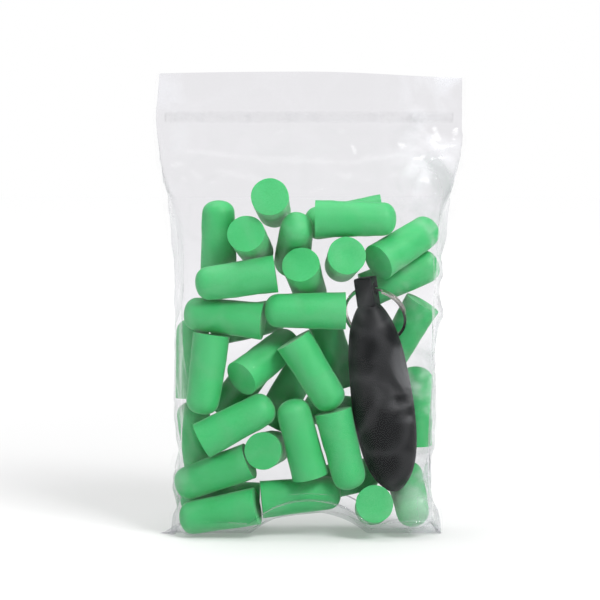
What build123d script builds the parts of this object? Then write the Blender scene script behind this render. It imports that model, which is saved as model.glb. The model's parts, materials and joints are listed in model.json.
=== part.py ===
# Foam ear plugs in a resealable film bag, with a squeeze-open carry case on a split ring.
#
# Units are millimetres. +Z is up, the bag stands on Z = 0 and its front faces -Y. The origin is
# the middle of its footprint. Every separate piece is written to its own STEP file in parts/.
from build123d import *

import math
import os

import numpy as np

# ---------------------------------------------------------------- driving dimensions
PLUG_LENGTH = 26.0
PLUG_DIAMETER = 12.4  # at the flat end
PLUG_TAPER = 0.6  # how much smaller the radius is where the dome starts
PLUG_DOME = 4.6  # length of the domed tip
DOME_POWER = 2.3  # above 2, the dome is blunter than an ellipse
PLUG_EDGE = 0.25  # rounding of the flat end's rim
PLUG_GAP = 0.3  # aimed at between neighbours when the pile is settled

FILM = 0.3  # wall of the bag
BAG_HEIGHT = 150.0
BODY_HALF_WIDTH = 44.5  # half the filled bag, without the side seams
MOUTH_SPREAD = 4.8  # how much wider the flat mouth is than the filled bag, on each side
END_ROUND = 11.0  # rounding of the filled bag along its seams
FOOT_INSET = 2.5  # how far the foot is drawn in on each side
FOOT_HALF_DEPTH = 10.5
SEAM_THICKNESS = 2 * FILM
SEAM_WIDTH = 1.8  # how far the seams stand out of the filled bag
MOUTH_SEAM_WIDTH = 1.3  # how far they stand out of the flat mouth
SEAM_ROOT_DEPTH = 11.5  # how far inside the filled bag the seams' plates are cut off
EAR_HEIGHT = 14.0  # of the bottom corners, which stick out as far as the mouth's seams
ARCH_HALF_SPAN = 19.0  # the bottom is pulled up between the two feet
ARCH_RISE = 7.0

HINGE_HEIGHT = 112.0  # where the lips start to bend away from the filled bag
ZIP_DROP = 14.0  # from the mouth's edge down to the middle of the zip
ZIP_HALF_DEPTH = 1.9  # half the bag's depth over the zip
ZIP_BASE = 3.4  # height of each profile's base strip
ZIP_BASE_THICKNESS = 0.3
ZIP_TONGUE = 0.9  # height of the rib's tongue
ZIP_REACH = 0.45  # how far the tongue and the channel's walls pass the middle
ZIP_CLEARANCE = 0.1
ZIP_WALL = 0.55
LIP_HALF_DEPTH = 0.75
LIP_CLEARANCE = 0.06  # between a lip and the seams, and between a lip and the filled bag

CASE_LENGTH = 62.0
CASE_HALF_WIDTH = 10.0
CASE_HALF_DEPTH = 8.4
CASE_WALL = 1.5
CASE_NECK = 2.7  # radius where the body meets the tab
SLIT_HALF_LENGTH = 17.0
SLIT_GAP = 0.3
SLIT_HINGE = 6.5  # from the slit to the line where each slit lip bends
SLIT_CLEARANCE = 0.15
SLIT_MIDDLE = 0.47  # share of the case's length at which the slit is centred
SLIT_ROOM = 1.8  # kept free behind the case for the slit's lips to open
TAB_SIZE = 6.0
TAB_HEIGHT = 8.4
TAB_TURN = 22.0  # degrees about the case's own axis
TAB_ROUND = 0.8
RING_HOLE = 3.6
RING_DIAMETER = 21.5
RING_WIRE_WIDTH = 1.1  # radially
RING_WIRE_HEIGHT = 0.8  # along the ring's axis, for one turn
RING_TURN_GAP = 0.1
RING_TILT = 27.0  # degrees, how far the ring leans behind the case
RING_SWING = 4.0  # degrees that it may swing further back
CASE_CLEARANCE = 0.448  # between the case and the inside of the bag's front
CASE_FOOT_ACROSS = 28.0  # the case's lower point, to the right of the bag's middle
CASE_FOOT_HEIGHT = 15.0
CASE_LEAN = -8.2  # degrees from upright, in the plane of the bag

# ---------------------------------------------------------------- derived dimensions
PLUG_RADIUS = PLUG_DIAMETER / 2
DOME_RADIUS = PLUG_RADIUS - PLUG_TAPER
PILE_HALF_DEPTH = max(1.27 * PLUG_DIAMETER, 0.6 * PLUG_LENGTH)  # two and a half layers of plugs
LIP_HALF_WIDTH = BODY_HALF_WIDTH + MOUTH_SPREAD
FOOT_HALF_WIDTH = BODY_HALF_WIDTH - FOOT_INSET
SEAM_EDGE = LIP_HALF_WIDTH + MOUTH_SEAM_WIDTH
ZIP_HEIGHT = BAG_HEIGHT - ZIP_DROP
CASE_DEPTH_PLACE = -(PILE_HALF_DEPTH - FILM - CASE_CLEARANCE - CASE_HALF_DEPTH)
CASE_FOOT = (CASE_FOOT_ACROSS, CASE_DEPTH_PLACE, CASE_FOOT_HEIGHT)

# Height, half width and half depth of the bag's outside, from its foot to its mouth.
BAG_STATIONS = [
    (0.0, FOOT_HALF_WIDTH, FOOT_HALF_DEPTH),
    (4.0, BODY_HALF_WIDTH - 1.0, PILE_HALF_DEPTH - 1.4),
    (11.0, BODY_HALF_WIDTH, PILE_HALF_DEPTH),
    (100.0, BODY_HALF_WIDTH, PILE_HALF_DEPTH),
    (HINGE_HEIGHT, BODY_HALF_WIDTH + 0.6, PILE_HALF_DEPTH - 1.6),
    (HINGE_HEIGHT + 10.0, BODY_HALF_WIDTH + 2.0, 8.0),
    (ZIP_HEIGHT - 2.4, LIP_HALF_WIDTH - 0.4, ZIP_HALF_DEPTH),
    (ZIP_HEIGHT + 2.4, LIP_HALF_WIDTH, ZIP_HALF_DEPTH),
    (ZIP_HEIGHT + 5.0, LIP_HALF_WIDTH, LIP_HALF_DEPTH),
    (BAG_HEIGHT, LIP_HALF_WIDTH, LIP_HALF_DEPTH),
]

# Where each plug lies before the pile is settled: its middle (x, y, z), the direction of its
# domed tip in the plane of the bag (0 is right, 90 is up) and how far the tip leans to the back.
PLUG_PLACES = [
    (-29.5, 5.5, 96.0, 90, 0),
    (-11.0, 0.0, 106.5, -85, 78),
    (-18.0, 0.0, 94.0, -60, 72),
    (-4.0, 3.0, 95.0, 95, -50),
    (-23.0, -8.5, 82.0, 183, 4),
    (-2.0, 0.5, 84.0, -80, 72),
    (15.0, -6.5, 102.5, -4, 0),
    (11.0, 8.0, 102.5, 190, 0),
    (12.5, 0.0, 88.0, -80, 72),
    (31.5, 0.0, 92.5, 23, 40),
    (32.0, 8.5, 82.0, 20, 10),
    (31.5, 8.5, 68.5, -110, 0),
    (-37.0, 7.0, 58.0, 90, 0),
    (-32.0, -7.5, 55.5, -90, 0),
    (-26.0, -6.0, 69.5, 180, 4),
    (-24.0, 8.5, 68.0, 8, 0),
    (-14.5, 0.0, 56.5, 30, 62),
    (-2.0, -9.0, 71.5, 186, 0),
    (-1.5, -9.0, 55.0, -62, 0),
    (6.0, 7.5, 59.5, 97, 0),
    (-21.0, -9.0, 38.0, 18, 0),
    (-36.0, 6.5, 31.0, 92, 0),
    (-31.0, -8.0, 22.0, 194, 0),
    (-12.0, 0.0, 29.0, 30, 72),
    (-0.5, -9.0, 30.5, 93, 0),
    (12.5, -9.0, 28.5, -82, 0),
    (-31.5, -7.5, 8.8, 184, 0),
    (-1.5, -6.0, 14.0, -3, 0),
    (10.0, 8.5, 13.0, -8, 0),
    (20.5, -1.0, 9.5, -90, 82),
    (33.0, 0.5, 12.0, -80, -68),
    (34.5, 8.0, 42.0, 92, 0),
    (-6.5, 9.0, 44.5, 53, 0),
    (10.5, 9.0, 40.0, 176, 0),
    (-22.0, 9.0, 50.0, 40, 0),
    (-30.5, 8.0, 10.0, 176, 0),
]

# ---------------------------------------------------------------- the case's own frame
CASE_FRAME = Location(CASE_FOOT, (0, CASE_LEAN, 0))  # z runs from its foot to its tab
HOLE_HEIGHT = CASE_LENGTH + 0.55 * TAB_HEIGHT  # of the ring's hole, along the case
RING_MEAN_RADIUS = (RING_DIAMETER - RING_WIRE_WIDTH) / 2


def case_profile(inset):
    """Points of the case's outline (radius, height), drawn in by inset all round."""
    shares = [(0.0, 0.0), (0.36, 0.03), (0.62, 0.085), (0.84, 0.18), (0.97, 0.32),
              (1.0, 0.45), (0.955, 0.62), (0.85, 0.78), (0.66, 0.9), (0.42, 0.975)]
    full = [(CASE_HALF_WIDTH * r, CASE_LENGTH * h) for r, h in shares]
    full.append((CASE_NECK, CASE_LENGTH))
    if not inset:
        return full
    reach = (CASE_LENGTH - 2.2 * inset) / CASE_LENGTH
    narrow = (CASE_HALF_WIDTH - inset) / CASE_HALF_WIDTH
    return [(r * narrow, 1.2 * inset + h * reach) for r, h in full[:-1]]


# ---------------------------------------------------------------- settling the pile
class Pile:
    """The loose plugs, nudged apart until each clears its neighbours, the bag and the case."""

    TURNS = 600  # the most passes over the pile
    SPIN_MASS = 60.0  # how hard a plug is to turn, next to how hard it is to shift
    HASTE = 1.3  # share of each wanted move that is made in a pass

    def __init__(self, places):
        self.middle = np.array([p[:3] for p in places], float)
        turn, lean = (np.radians([p[k] for p in places]) for k in (3, 4))
        flat = np.cos(lean)
        self.axis = np.stack([flat * np.cos(turn), np.sin(lean), flat * np.sin(turn)], 1)
        dome_start = PLUG_LENGTH - PLUG_DOME
        rings = [(0.0, 0.6 * PLUG_RADIUS)]
        rings += [(t, plug_radius(t)) for t in np.linspace(0, dome_start, 9)]
        rings += [(t, plug_radius(t)) for t in dome_start + PLUG_DOME * np.array([0.35, 0.7, 0.9, 1])]
        around = np.linspace(0, 2 * math.pi, 16, endpoint=False)
        self.skin = np.array([(r * math.cos(a), r * math.sin(a), t - PLUG_LENGTH / 2)
                              for t, r in rings for a in around])

    def surface(self):
        """Sample points of every plug, as an array of (plug, point, xyz)."""
        side = np.cross(self.axis, [0.31, 0.54, 0.78])
        side /= np.linalg.norm(side, axis=1)[:, None]
        other = np.cross(self.axis, side)
        return self.middle[:, None] + self.skin @ np.stack([side, other, self.axis], 1)

    def settle(self):
        """Moves the plugs until no gap is short, and returns the shortest gap left."""
        for _ in range(self.TURNS):
            points = self.surface()
            self.shift = np.zeros_like(self.middle)
            self.spin = np.zeros_like(self.middle)
            self.touches = np.ones(len(self.middle))
            apart = np.linalg.norm(self.middle[:, None] - self.middle[None], axis=-1)
            near = (apart < PLUG_LENGTH + 2) & ~np.eye(len(self.middle), dtype=bool)
            first, second = np.nonzero(near)
            other = [self.middle[second][:, None], self.axis[second][:, None]]
            gaps = [self.part(first, points[first], plug_gap, other, second)]
            every = np.arange(len(self.middle))
            gaps += [self.part(every, points, wall, []) for wall in (bag_gap, case_gap, ring_gap)]
            if min(gaps) > 0.8 * PLUG_GAP:
                break
            self.middle += self.HASTE * self.shift / self.touches[:, None]
            self.axis += np.cross(self.HASTE * self.spin / self.touches[:, None], self.axis)
            self.axis /= np.linalg.norm(self.axis, axis=1)[:, None]
        return min(gaps)

    def part(self, plugs, points, gap, where, others=None):
        """Adds the moves that take plugs clear of a wall or of others; returns the least gap."""
        gaps = gap(points, *where)
        deepest = gaps.argmin(1)
        rows = np.arange(len(plugs))
        least = gaps[rows, deepest]
        short = least < PLUG_GAP
        plugs, point, where = plugs[short], points[rows, deepest][short], [w[short] for w in where]
        steps = 0.02 * np.eye(3)
        normal = np.stack([gap((point + d)[:, None], *where) - gap((point - d)[:, None], *where)
                           for d in steps], -1)[:, 0]
        normal /= np.maximum(np.linalg.norm(normal, axis=1), 1e-9)[:, None]
        movers = [(plugs, 1)] if others is None else [(plugs, 1), (others[short], -1)]
        arms = [np.cross(point - self.middle[who], normal) for who, _ in movers]
        weight = sum(1 + (arm**2).sum(1) / self.SPIN_MASS for arm in arms)
        pull = ((PLUG_GAP - least[short]) / weight)[:, None]
        for (who, sign), arm in zip(movers, arms):
            np.add.at(self.shift, who, sign * pull * normal)
            np.add.at(self.spin, who, sign * pull * arm / self.SPIN_MASS)
            np.add.at(self.touches, who, 0.5)
        return least.min()


def plug_radius(along):
    """Radius of a plug at a distance from its flat end."""
    dome_start = PLUG_LENGTH - PLUG_DOME
    if along <= dome_start:
        return PLUG_RADIUS - PLUG_TAPER * along / dome_start
    part = min((along - dome_start) / PLUG_DOME, 1.0)
    return DOME_RADIUS * (1 - part**DOME_POWER) ** (1 / DOME_POWER)


def plug_gap(points, middle, axis):
    """Distance from points to a plug's surface, negative inside."""
    arm = points - middle
    along = (arm * axis).sum(-1)
    out = np.sqrt(np.maximum((arm**2).sum(-1) - along**2, 1e-12))
    along = along + PLUG_LENGTH / 2
    dome_start = PLUG_LENGTH - PLUG_DOME
    side = out - (PLUG_RADIUS - PLUG_TAPER * np.clip(along / dome_start, 0, 1))
    body = np.where((side > 0) & (along < 0), np.hypot(side, along), np.maximum(side, -along))
    part = np.maximum(along - dome_start, 0) / PLUG_DOME
    dome = ((out / DOME_RADIUS) ** DOME_POWER + part**DOME_POWER) ** (1 / DOME_POWER) - 1
    return np.where(along > dome_start, dome * PLUG_DOME, body)


def bag_gap(points):
    """Distance from points to the inside of the bag, negative outside it."""
    x, y, z = points[..., 0], points[..., 1], points[..., 2]
    heights, widths, depths = zip(*BAG_STATIONS)
    width = np.interp(z, heights, widths) - FILM
    depth = np.interp(z, heights, depths) - FILM
    corner = np.minimum(END_ROUND, 0.9 * depth)
    past_x, past_y = np.abs(x) - (width - corner), np.abs(y) - (depth - corner)
    out = np.hypot(np.maximum(past_x, 0), np.maximum(past_y, 0)) - corner
    side = out + np.minimum(np.maximum(past_x, past_y), 0)
    return np.minimum(-side, z - FILM - arch_height(x))


def arch_height(x):
    """Height of the bag's underside at a place across it."""
    radius = (ARCH_HALF_SPAN**2 + ARCH_RISE**2) / (2 * ARCH_RISE)
    inside = np.clip(radius**2 - np.asarray(x, float) ** 2, 0, None)
    return np.maximum(np.sqrt(inside) - (radius - ARCH_RISE), 0.0)


def in_case_frame(points):
    """Points in the case's own frame."""
    lean = math.radians(CASE_LEAN)
    arm = points - np.array(CASE_FOOT)
    x = math.cos(lean) * arm[..., 0] - math.sin(lean) * arm[..., 2]
    z = math.sin(lean) * arm[..., 0] + math.cos(lean) * arm[..., 2]
    return np.stack([x, arm[..., 1], z], -1)


def case_gap(points):
    """Distance from points to the case, with room behind it for its slit's lips to open."""
    local = in_case_frame(points)
    squash = CASE_HALF_WIDTH / CASE_HALF_DEPTH
    room = SLIT_ROOM * np.clip(local[..., 1] / 5, 0, 1)
    out = np.hypot(local[..., 0], local[..., 1] * squash)
    radii, heights = zip(*case_profile(0))
    body = np.interp(local[..., 2], heights, radii)
    past = np.maximum(-local[..., 2], local[..., 2] - CASE_LENGTH)
    shell = np.hypot(np.maximum(out - body, 0), np.maximum(past, 0))
    shell = np.where(past > 0, shell, out - body) - room
    tab_middle = np.array([0, 0, CASE_LENGTH + TAB_HEIGHT / 2])
    tab = np.abs(local - tab_middle) - np.array([0.62 * TAB_SIZE, 0.62 * TAB_SIZE, TAB_HEIGHT / 2])
    return np.minimum(shell, tab.max(-1))


def ring_gap(points):
    """Distance from points to the ring, over the whole of its swing."""
    local = in_case_frame(points) - np.array([0, 0, HOLE_HEIGHT])
    turn = math.radians(TAB_TURN)
    along = math.cos(turn) * local[..., 0] - math.sin(turn) * local[..., 1]
    back = math.sin(turn) * local[..., 0] + math.cos(turn) * local[..., 1]
    gaps = []
    for tilt in np.radians(np.linspace(RING_TILT, RING_TILT + RING_SWING, 4)):
        down = -local[..., 2] * math.cos(tilt) + back * math.sin(tilt)
        off = back * math.cos(tilt) + local[..., 2] * math.sin(tilt)
        out = np.hypot(along, down - RING_MEAN_RADIUS) - RING_MEAN_RADIUS
        gaps.append(np.hypot(out, off) - (RING_WIRE_HEIGHT + RING_WIRE_WIDTH / 2))
    return np.min(gaps, 0)


# ---------------------------------------------------------------- the bag
def section(height, half_width, half_depth):
    """A section of the bag at a height, rounded at its two sides."""
    corner = min(END_ROUND, 0.9 * half_depth)
    outline = RectangleRounded(2 * half_width, 2 * half_depth, corner)
    return Plane.XY.offset(height) * outline


def bag_solid(inset):
    """The filled bag's outside, or its inside when drawn in by the film."""
    sections = [section(z, w - inset, d - inset) for z, w, d in BAG_STATIONS]
    body = loft(sections, ruled=True)
    span, rise = ARCH_HALF_SPAN + inset, ARCH_RISE + inset
    depth = 4 * PILE_HALF_DEPTH
    arc = ThreePointArc((-span, 0, 0), (0, 0, rise), (span, 0, 0))
    arch = make_face([arc, Line((span, 0, 0), (-span, 0, 0))])
    return body - extrude(arch, depth / 2, both=True)


def slab(low, high):
    """An upright block over the whole bag between two heights."""
    size = 4 * BAG_HEIGHT
    return Pos(0, 0, (low + high) / 2) * Box(size, size, high - low)


def half(solid, side, gap):
    """The front (-1) or back (+1) part of a solid, kept gap away from the middle plane."""
    size = 4 * BAG_HEIGHT
    return solid & Pos(0, side * (gap + size / 2), 0) * Box(size, size, size)


def bag_parts():
    outside = bag_solid(0)
    shell = outside - (bag_solid(FILM) & slab(FILM, BAG_HEIGHT + 1))
    body = shell & slab(-1, HINGE_HEIGHT)
    mouth = shell & slab(HINGE_HEIGHT + LIP_CLEARANCE, BAG_HEIGHT + 1)
    seam_gap = SEAM_THICKNESS / 2 + LIP_CLEARANCE
    parts = {
        "front_panel": half(body, -1, 0),
        "back_panel": half(body, 1, 0),
        "front_lip": half(mouth, -1, seam_gap),
        "back_lip": half(mouth, 1, seam_gap),
    }
    for name, side in (("left_seam", -1), ("right_seam", 1)):
        parts[name] = seam(side, outside)
    parts["zip_rib"], parts["zip_channel"] = zip_profiles()
    return parts


def seam(side, outside):
    """One heat-sealed side of the bag, with the corner that sticks out at its foot."""
    edge = BODY_HALF_WIDTH + SEAM_WIDTH
    root = BODY_HALF_WIDTH - SEAM_ROOT_DEPTH
    outline = [
        (root, 0),
        (SEAM_EDGE, 0),
        (edge + 1.2, EAR_HEIGHT * 0.6),
        (edge, EAR_HEIGHT),
        (edge, HINGE_HEIGHT - 8.0),
        (edge + 1.0, HINGE_HEIGHT),
        (SEAM_EDGE, ZIP_HEIGHT - 8.0),
        (SEAM_EDGE, BAG_HEIGHT),
        (root, BAG_HEIGHT),
    ]
    face = make_face(Polyline([(side * x, 0, z) for x, z in outline], close=True))
    plate = extrude(face, SEAM_THICKNESS / 2, both=True)
    return plate - outside


def zip_profiles():
    """The rib on the front film and the channel on the back film, closed on each other."""
    wall = ZIP_HALF_DEPTH - FILM
    length = 2 * (LIP_HALF_WIDTH - ZIP_HALF_DEPTH - 1.0)
    base = Box(length, ZIP_BASE_THICKNESS, ZIP_BASE)
    rib = Pos(0, -wall + ZIP_BASE_THICKNESS / 2, 0) * base
    reach = wall + ZIP_REACH
    rib += Pos(0, -wall + reach / 2, 0) * Box(length, reach, ZIP_TONGUE)
    channel = Pos(0, wall - ZIP_BASE_THICKNESS / 2, 0) * base
    for side in (-1, 1):
        height = side * (ZIP_TONGUE / 2 + ZIP_CLEARANCE + ZIP_WALL / 2)
        channel += Pos(0, wall - reach / 2, height) * Box(length, reach, ZIP_WALL)
    return Pos(0, 0, ZIP_HEIGHT) * rib, Pos(0, 0, ZIP_HEIGHT) * channel


# ---------------------------------------------------------------- the case
def case_solid(inset):
    """The case's body, or its hollow when drawn in by the wall."""
    points = case_profile(inset)
    curve = Spline([(r, 0, h) for r, h in points])
    bottom, top = points[0][1], points[-1]
    lines = [
        curve,
        Line((top[0], 0, top[1]), (0, 0, top[1])),
        Line((0, 0, top[1]), (0, 0, bottom)),
    ]
    body = revolve(make_face(lines), Axis.Z)
    depth = (CASE_HALF_DEPTH - inset) / (CASE_HALF_WIDTH - inset)
    return scale(body, by=(1, depth, 1))


def case_parts():
    middle = SLIT_MIDDLE * CASE_LENGTH
    shell = case_solid(0) - case_solid(CASE_WALL)
    window = Pos(0, CASE_HALF_DEPTH, middle) * Box(
        2 * (SLIT_HINGE + SLIT_CLEARANCE), 2 * CASE_HALF_DEPTH,
        2 * (SLIT_HALF_LENGTH + SLIT_CLEARANCE)
    )
    parts = {"case_shell": shell - window + tab()}
    for name, side in (("case_lip_left", -1), ("case_lip_right", 1)):
        width = SLIT_HINGE - SLIT_GAP / 2
        door = Pos(side * (SLIT_GAP / 2 + width / 2), CASE_HALF_DEPTH, middle) * Box(
            width, 2 * CASE_HALF_DEPTH, 2 * SLIT_HALF_LENGTH
        )
        parts[name] = shell & door
    parts["split_ring"] = split_ring()
    return {name: CASE_FRAME * solid for name, solid in parts.items()}


def tab():
    """The square eye on top of the case, with the ring's hole through it."""
    height = TAB_HEIGHT + 1.0  # its root is sunk into the body's neck
    post = Box(TAB_SIZE, TAB_SIZE, height)
    post = fillet(post.edges().filter_by(Axis.Z), TAB_ROUND)
    post = Pos(0, 0, CASE_LENGTH - 1.0 + height / 2) * post
    hole = Pos(0, 0, HOLE_HEIGHT) * Rot(0, 90, 0) * Cylinder(RING_HOLE / 2, 2 * TAB_SIZE)
    return Rot(0, 0, -TAB_TURN) * (post - hole)


def split_ring():
    """Two turns of flat wire, one beside the other, joined by a short step."""
    pitch = RING_WIRE_HEIGHT + RING_TURN_GAP
    path = Helix(pitch, 2 * pitch - 0.06 * pitch, RING_MEAN_RADIUS)
    section = Plane(origin=path @ 0, z_dir=path % 0) * Rectangle(RING_WIRE_WIDTH, RING_WIRE_HEIGHT)
    coil = sweep(section, path=path, is_frenet=True)
    coil = Pos(0, 0, -pitch) * coil
    hung = Pos(0, 0, -RING_MEAN_RADIUS) * Rot(90, 0, 0) * coil
    return Pos(0, 0, HOLE_HEIGHT) * Rot(0, 0, -TAB_TURN) * Rot(RING_TILT, 0, 0) * hung


# ---------------------------------------------------------------- the plugs
def plug_solid():
    """One plug standing on its flat end at the origin."""
    dome_start = PLUG_LENGTH - PLUG_DOME
    dome = [(plug_radius(dome_start + PLUG_DOME * math.sin(a)), dome_start + PLUG_DOME * math.sin(a))
            for a in np.linspace(0, math.pi / 2, 6)]
    taper = PLUG_TAPER / dome_start
    curve = Spline([(r, 0, h) for r, h in dome], tangents=[(-taper, 0, 1), (-1, 0, 0)])
    lines = [
        Line((0, 0, 0), (PLUG_RADIUS - PLUG_EDGE, 0, 0)),
        Line((PLUG_RADIUS - PLUG_EDGE, 0, 0), (PLUG_RADIUS, 0, PLUG_EDGE)),
        Line((PLUG_RADIUS, 0, PLUG_EDGE), (DOME_RADIUS, 0, dome_start)),
        curve,
        Line((0, 0, PLUG_LENGTH), (0, 0, 0)),
    ]
    return revolve(make_face(lines), Axis.Z)


def plug_parts():
    pile = Pile(PLUG_PLACES)
    print("shortest gap in the settled pile", round(pile.settle(), 3))
    plug = plug_solid()
    parts = {}
    for number, (middle, axis) in enumerate(zip(pile.middle, pile.axis), 1):
        foot = Vector(*(middle - axis * PLUG_LENGTH / 2))
        parts[f"ear_plug_{number:02d}"] = Plane(origin=foot, z_dir=Vector(*axis)).location * plug
    return parts


def main():
    os.makedirs("parts", exist_ok=True)
    parts = {**bag_parts(), **case_parts(), **plug_parts()}
    for name, solid in parts.items():
        export_step(solid, f"parts/{name}.step")


main()
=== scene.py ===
"""Foam ear plugs in a press-seal film bag, with a rubber carry case on a split ring.

Each sub-assembly is a class that takes its places from the CAD frame, models its pieces and
dresses them. Lengths are in metres.
"""

import json
import logging
import math
from collections.abc import Callable
from dataclasses import dataclass, field
from enum import Enum

import bmesh
import bpy
import numpy as np
from mathutils import Matrix, Vector
from mathutils.bvhtree import BVHTree


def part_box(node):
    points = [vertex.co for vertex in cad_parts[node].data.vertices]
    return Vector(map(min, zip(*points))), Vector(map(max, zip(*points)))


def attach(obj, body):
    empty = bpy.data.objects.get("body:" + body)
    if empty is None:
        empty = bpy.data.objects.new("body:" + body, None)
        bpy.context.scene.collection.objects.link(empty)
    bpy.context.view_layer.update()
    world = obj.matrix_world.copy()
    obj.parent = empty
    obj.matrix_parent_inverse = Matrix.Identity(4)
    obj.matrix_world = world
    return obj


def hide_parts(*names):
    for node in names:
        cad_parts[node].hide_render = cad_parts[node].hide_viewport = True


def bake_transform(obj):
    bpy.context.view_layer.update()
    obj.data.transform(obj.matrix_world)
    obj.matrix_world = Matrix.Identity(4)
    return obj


MM = 0.001
logging.basicConfig(level=logging.INFO, format="%(name)s: %(message)s")
log = logging.getLogger("ear_plugs")
Color = tuple[float, float, float, float]
Place = tuple[float, float, float]


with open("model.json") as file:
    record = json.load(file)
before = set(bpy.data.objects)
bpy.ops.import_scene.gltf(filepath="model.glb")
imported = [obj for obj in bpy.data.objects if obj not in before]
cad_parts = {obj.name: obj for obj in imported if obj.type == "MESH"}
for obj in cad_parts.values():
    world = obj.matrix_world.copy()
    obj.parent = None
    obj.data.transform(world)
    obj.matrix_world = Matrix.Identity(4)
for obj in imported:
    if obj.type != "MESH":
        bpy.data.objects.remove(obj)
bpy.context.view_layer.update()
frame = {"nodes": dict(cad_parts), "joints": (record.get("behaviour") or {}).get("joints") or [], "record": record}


class Side(Enum):
    """One of the two sides of a mirrored pair, as the sign of its axis."""

    MINUS = -1
    PLUS = 1

    @property
    def front_back(self) -> str:
        """The side's name along Y."""
        return "front" if self is Side.MINUS else "back"

    @property
    def left_right(self) -> str:
        """The side's name along X."""
        return "left" if self is Side.MINUS else "right"


# ------------------------------------------------------------------ small helpers
def deselect_all() -> None:
    """Leaves nothing selected, in object mode."""
    if bpy.context.object and bpy.context.object.mode != "OBJECT":
        bpy.ops.object.mode_set(mode="OBJECT")
    bpy.ops.object.select_all(action="DESELECT")


def activate(*pieces: bpy.types.Object) -> bpy.types.Object:
    """Selects only the given pieces and makes the first one active.

    Args:
        pieces: the objects to select.

    Returns:
        The first of them.
    """
    deselect_all()
    for piece in pieces:
        piece.select_set(True)
    bpy.context.view_layer.objects.active = pieces[0]
    return pieces[0]


def named(name: str) -> bpy.types.Object:
    """Names the active object and its mesh.

    Args:
        name: the new name.

    Returns:
        The active object.
    """
    piece = bpy.context.object
    piece.name = piece.data.name = name
    return piece


def points_of(piece: bpy.types.Object) -> np.ndarray:
    """A piece's vertices as an array of (vertex, xyz).

    Args:
        piece: the piece to read.

    Returns:
        The array.
    """
    co = np.empty(len(piece.data.vertices) * 3)
    piece.data.vertices.foreach_get("co", co)
    return co.reshape(-1, 3)


def place_points(piece: bpy.types.Object, points: np.ndarray) -> None:
    """Moves a piece's vertices to new places.

    Args:
        piece: the piece whose mesh is changed.
        points: an array of (vertex, xyz).
    """
    piece.data.vertices.foreach_set("co", np.ascontiguousarray(points).ravel())
    piece.data.update()


def apply_modifier(piece: bpy.types.Object, kind: str, **settings: object) -> None:
    """Adds a modifier, sets it and applies it.

    Args:
        piece: the piece to change.
        kind: the modifier's type.
        settings: its settings by name.
    """
    activate(piece)
    modifier = piece.modifiers.new(kind.title(), kind)
    for name, value in settings.items():
        setattr(modifier, name, value)
    bpy.ops.object.modifier_apply(modifier=modifier.name)


def subdivided(piece: bpy.types.Object, levels: int) -> None:
    """Smooths a piece with applied Subdivision Surface levels."""
    apply_modifier(piece, "SUBSURF", levels=levels, render_levels=levels)


def freeze_place(piece: bpy.types.Object) -> None:
    """Puts a piece's place into its mesh, so that its object sits at the origin."""
    activate(piece)
    bpy.ops.object.transform_apply(location=True, rotation=True, scale=True)


def copy_of(piece: bpy.types.Object, name: str) -> bpy.types.Object:
    """A copy of a piece with its own mesh.

    Args:
        piece: the piece to copy.
        name: the copy's name.

    Returns:
        The new object, linked to the scene.
    """
    new = piece.copy()
    new.data = piece.data.copy()
    new.name = new.data.name = name
    bpy.context.scene.collection.objects.link(new)
    return new


def remove(*pieces: bpy.types.Object) -> None:
    """Deletes helper objects."""
    for piece in pieces:
        bpy.data.objects.remove(piece, do_unlink=True)


def select_none(piece: bpy.types.Object, kind: str) -> None:
    """Opens a piece in edit mode with nothing selected.

    Args:
        piece: the piece to work on.
        kind: VERT, EDGE or FACE, what is then selected.
    """
    activate(piece)
    bpy.ops.object.mode_set(mode="EDIT")
    bpy.ops.mesh.select_mode(type=kind)
    bpy.ops.mesh.select_all(action="DESELECT")


def select_whole(piece: bpy.types.Object) -> None:
    """Opens a piece in edit mode with all of it selected.

    Args:
        piece: the piece to work on.
    """
    activate(piece)
    bpy.ops.object.mode_set(mode="EDIT")
    bpy.ops.mesh.select_all(action="SELECT")


def delete_marked(piece: bpy.types.Object, kind: str, doomed: np.ndarray) -> None:
    """Deletes the marked vertices or faces of a piece.

    Args:
        piece: the piece to cut.
        kind: VERT or FACE.
        doomed: a mask with one truth value for each vertex or face.
    """
    select_none(piece, kind)
    bpy.ops.object.mode_set(mode="OBJECT")
    parts = piece.data.vertices if kind == "VERT" else piece.data.polygons
    parts.foreach_set("select", doomed)
    bpy.ops.object.mode_set(mode="EDIT")
    bpy.ops.mesh.delete(type=kind)
    bpy.ops.object.mode_set(mode="OBJECT")


def smoothstep(value: np.ndarray) -> np.ndarray:
    """The usual ease from 0 to 1, clamped outside."""
    value = np.clip(value, 0.0, 1.0)
    return value * value * (3 - 2 * value)


def waves(points: np.ndarray, seed: int, count: int, length: float) -> np.ndarray:
    """Soft seeded bumps: a sum of plane waves in random directions.

    Args:
        points: an array of (point, xyz).
        seed: the random seed.
        count: how many waves are added.
        length: the typical wavelength.

    Returns:
        One value per point, mostly between -1 and 1.
    """
    random = np.random.default_rng(seed)
    total = np.zeros(len(points))
    for _ in range(count):
        direction = random.normal(size=3)
        direction /= np.linalg.norm(direction)
        stretch = length * random.uniform(0.7, 1.5)
        total += np.sin(points @ direction * math.tau / stretch + random.uniform(0, math.tau))
    return total / math.sqrt(count) / 1.4


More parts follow.
